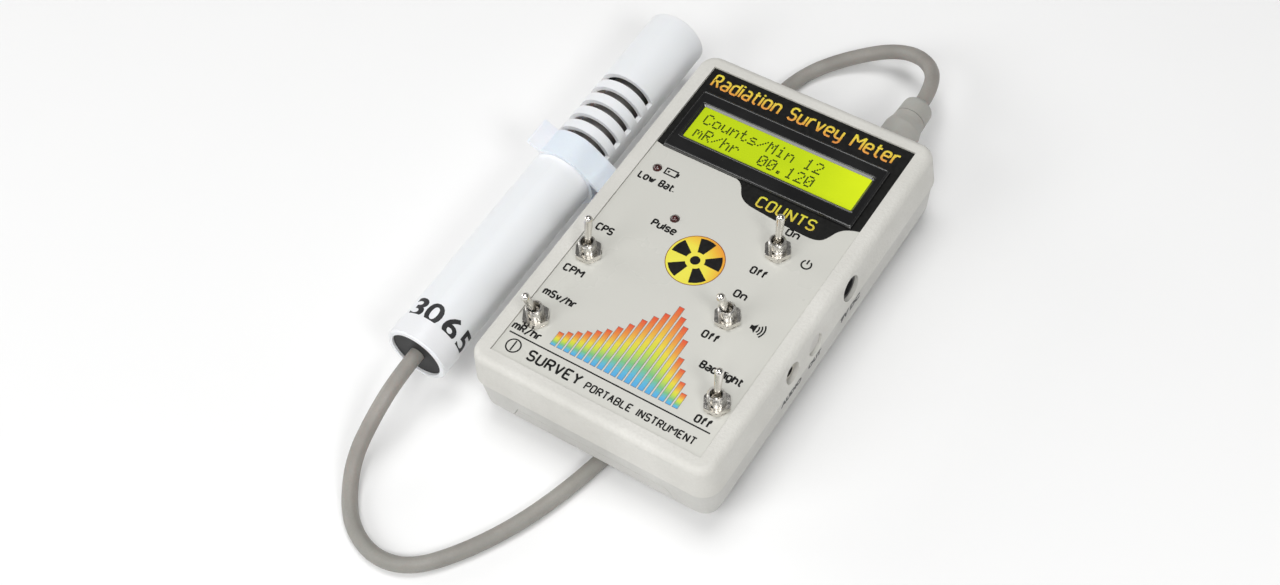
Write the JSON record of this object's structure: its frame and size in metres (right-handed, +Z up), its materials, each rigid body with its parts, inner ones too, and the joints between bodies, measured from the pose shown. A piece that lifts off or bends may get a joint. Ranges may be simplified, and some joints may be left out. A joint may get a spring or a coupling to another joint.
{
  "type": "geiger counter",
  "caption": "Hand-held radiation meter: flat plastic case with display, toggle switches and side ports, and a slotted tube probe held in a side clip and joined by a cord.",
  "frame": {"origin": "on the table, below the middle of the case and wand together (cord and connector left out)", "axes": "+X to the right across the panel, +Y towards the display and connector end, +Z up out of the panel"},
  "size_m": [0.125, 0.2622, 0.0511],
  "materials": {
    "case_plastic": "fine moulded texture",
    "panel_print": "satin printed film",
    "black_frame": "gloss black",
    "display_glass": "clear",
    "backlight": "lit yellow-green",
    "circuit_board": "solder mask",
    "black_plastic": "moulded",
    "nickel": "bright nickel plate",
    "pin_metal": "plated",
    "screw_steel": "zinc plated",
    "led_lens": "dark red lens",
    "foot_rubber": "matt",
    "wand_white": "satin white",
    "cord_grey": "soft sheath",
    "tube_metal": "dull drawn metal",
    "foam_black": "foam",
    "battery_jacket": "printed jacket",
    "lead_red": "wire sheath",
    "lead_black": "wire sheath",
    "component_can": "plain"
  },
  "bodies": {
    "case": {"upper_case": "case_plastic", "lower_case": "case_plastic", "port_plug": "case_plastic", "panel_label": "panel_print", "lcd_frame": "black_frame", "lcd_window": "display_glass", "lcd_backlight": "backlight", "lcd_board": "circuit_board", "main_board": "circuit_board", "switch_bodies": "black_plastic", "microcontroller": "black_plastic", "buzzer": "black_plastic", "dc_jack": "black_plastic", "audio_jack_body": "black_plastic", "probe_socket": "black_plastic", "battery_snap": "black_plastic", "hv_transformer": "black_plastic", "switch_bushings": "nickel", "switch_nuts": "nickel", "switch_washers": "nickel", "audio_jack_nose": "nickel", "lcd_pins": "pin_metal", "switch_pins": "pin_metal", "microcontroller_legs": "pin_metal", "dc_jack_pin": "pin_metal", "case_screws": "screw_steel", "lcd_screws": "screw_steel", "board_screws": "screw_steel", "clip_screw": "screw_steel", "lcd_standoffs": "screw_steel", "low_battery_led": "led_lens", "pulse_led": "led_lens", "rubber_feet": "foot_rubber", "wand_clip": "wand_white", "probe_cord": "cord_grey", "battery_9v": "battery_jacket", "battery_lead_red": "lead_red", "battery_lead_black": "lead_black", "hv_capacitors": "component_can"},
    "door": {"battery_door": "case_plastic"},
    "wand": {"wand_tube": "wand_white", "wand_collar": "wand_white", "wand_end_plug": "black_plastic", "wand_nose_cap": "wand_white", "gm_tube": "tube_metal", "gm_tube_rings": "foam_black", "wand_board": "circuit_board"},
    "plug": {"plug_body": "cord_grey", "plug_shell": "nickel", "plug_pins": "pin_metal"},
    "power_lever": {"power_lever": "nickel"},
    "sound_lever": {"sound_lever": "nickel"},
    "backlight_lever": {"backlight_lever": "nickel"},
    "count_lever": {"count_lever": "nickel"},
    "unit_lever": {"unit_lever": "nickel"}
  },
  "joints": [
    {"name": "power_toggle", "type": "hinge", "parent": "case", "child": "power_lever", "pos_m": [0.03668, 0.006, 0.038], "axis": [1, 0, 0], "range_deg": [0, 25]},
    {"name": "sound_toggle", "type": "hinge", "parent": "case", "child": "sound_lever", "pos_m": [0.03628, -0.0241, 0.038], "axis": [-1, 0, 0], "range_deg": [0, 25]},
    {"name": "backlight_toggle", "type": "hinge", "parent": "case", "child": "backlight_lever", "pos_m": [0.05018, -0.0527, 0.038], "axis": [1, 0, 0], "range_deg": [0, 25]},
    {"name": "count_toggle", "type": "hinge", "parent": "case", "child": "count_lever", "pos_m": [-0.01642, -0.0246, 0.038], "axis": [1, 0, 0], "range_deg": [0, 25]},
    {"name": "unit_toggle", "type": "hinge", "parent": "case", "child": "unit_lever", "pos_m": [-0.01672, -0.0542, 0.038], "axis": [-1, 0, 0], "range_deg": [0, 25]},
    {"name": "battery_door_slide", "type": "slide", "parent": "case", "child": "door", "axis": [0, -1, 0], "range_m": [0, 0.045]},
    {"name": "wand_release", "type": "slide", "parent": "case", "child": "wand", "axis": [-1, 0, 0], "range_m": [0, 0.04], "deforming": ["wand_clip", "probe_cord"]},
    {"name": "plug_pull", "type": "slide", "parent": "case", "child": "plug", "axis": [0, 1, 0], "range_m": [0, 0.009], "deforming": ["probe_cord"]}
  ]
}
